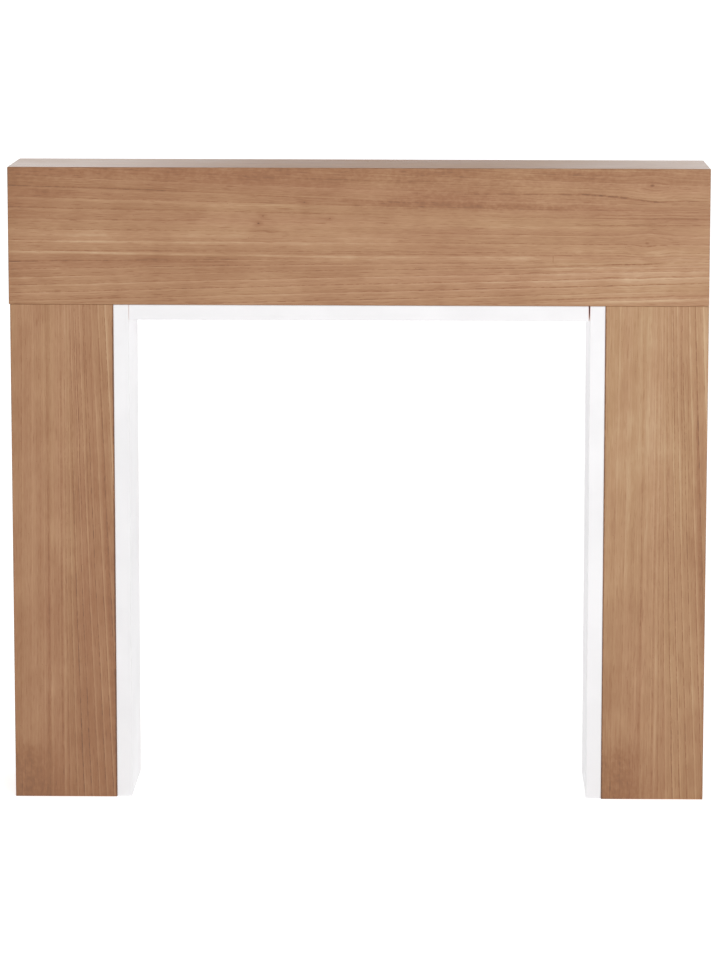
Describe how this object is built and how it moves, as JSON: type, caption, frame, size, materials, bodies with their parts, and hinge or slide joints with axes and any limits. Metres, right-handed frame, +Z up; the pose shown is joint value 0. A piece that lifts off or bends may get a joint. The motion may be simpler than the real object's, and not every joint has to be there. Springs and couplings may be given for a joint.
{
  "type": "fireplace mantelpiece",
  "caption": "Plain fire surround: a deep timber-veneered boxed beam on boxed legs, with a white board lining inside the fire opening; stands on the hearth against the chimney breast.",
  "frame": {"origin": "floor level under the middle of the whole piece, half way between the faces and the wall", "axes": "+X to the right as seen from the room, -Y out into the room, +Y into the wall, +Z up"},
  "size_m": [1.22, 0.18, 1.12],
  "materials": {
    "veneer": "warm brown real-wood veneer under satin lacquer, bare board on the hidden faces",
    "white_paint": "board painted satin white"
  },
  "bodies": {
    "root": {"beam_front": "veneer", "beam_top": "veneer", "beam_soffit": "veneer", "beam_end_left": "veneer", "beam_end_right": "veneer", "leg_left_front": "veneer", "leg_left_outer_side": "veneer", "leg_left_inner_side": "veneer", "leg_right_front": "veneer", "leg_right_outer_side": "veneer", "leg_right_inner_side": "veneer", "lining_left": "white_paint", "lining_right": "white_paint", "lining_head": "white_paint"}
  },
  "joints": []
}
